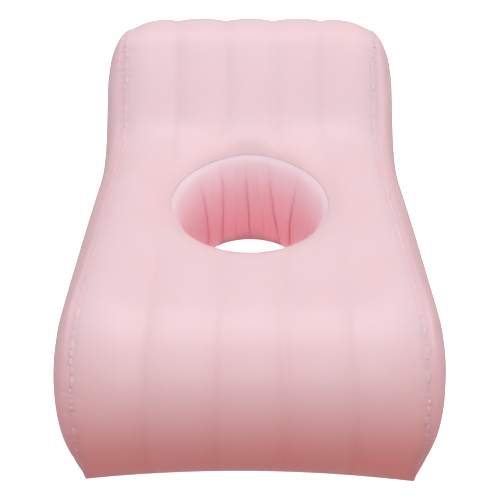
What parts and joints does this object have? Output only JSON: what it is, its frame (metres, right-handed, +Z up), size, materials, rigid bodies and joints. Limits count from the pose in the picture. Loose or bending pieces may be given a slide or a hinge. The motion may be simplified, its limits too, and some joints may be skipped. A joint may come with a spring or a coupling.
{
  "type": "inflatable wedge lounger",
  "caption": "Inflatable incline wedge lounger: rounded front, flat seat with a round open hole, sloped back rest, bulging welded sides, inner beams and a plug valve.",
  "frame": {"origin": "on the floor, under the centre of the object's bounding box", "axes": "+Y from the low front edge to the back rest, +X to the left of somebody lying back on it, +Z up"},
  "size_m": [0.736, 1.0866, 0.476],
  "materials": {
    "pink_pvc": "satin pink PVC sheet",
    "web_pvc": "satin PVC sheet, a little paler",
    "valve_white": "soft moulded PVC, satin",
    "flap_silicone": "translucent silicone, matte"
  },
  "bodies": {
    "chamber": {"top_strip": "pink_pvc", "rear_panel": "pink_pvc", "floor_panel": "pink_pvc", "left_side_panel": "pink_pvc", "right_side_panel": "pink_pvc", "hole_sleeve": "pink_pvc", "outer_beam_left": "web_pvc", "outer_beam_right": "web_pvc", "front_beam_left": "web_pvc", "front_beam_right": "web_pvc", "rear_beam_left": "web_pvc", "rear_beam_right": "web_pvc", "valve_base": "valve_white", "plug_tether": "valve_white"},
    "plug": {"valve_plug": "valve_white"},
    "cap": {"valve_cap": "valve_white"},
    "flap": {"check_flap": "flap_silicone"}
  },
  "joints": [
    {"name": "plug_pull", "type": "slide", "parent": "chamber", "child": "plug", "axis": [0, 1, 0], "range_m": [0, 0.03]},
    {"name": "cap_hinge", "type": "hinge", "parent": "plug", "child": "cap", "pos_m": [-0.248, 0.5433, 0.11735], "axis": [1, 0, 0], "range_deg": [0, 150]},
    {"name": "flap_lift", "type": "slide", "parent": "plug", "child": "flap", "axis": [0, -1, 0], "range_m": [0, 0.0025], "stiffness_N_per_m": 20}
  ]
}
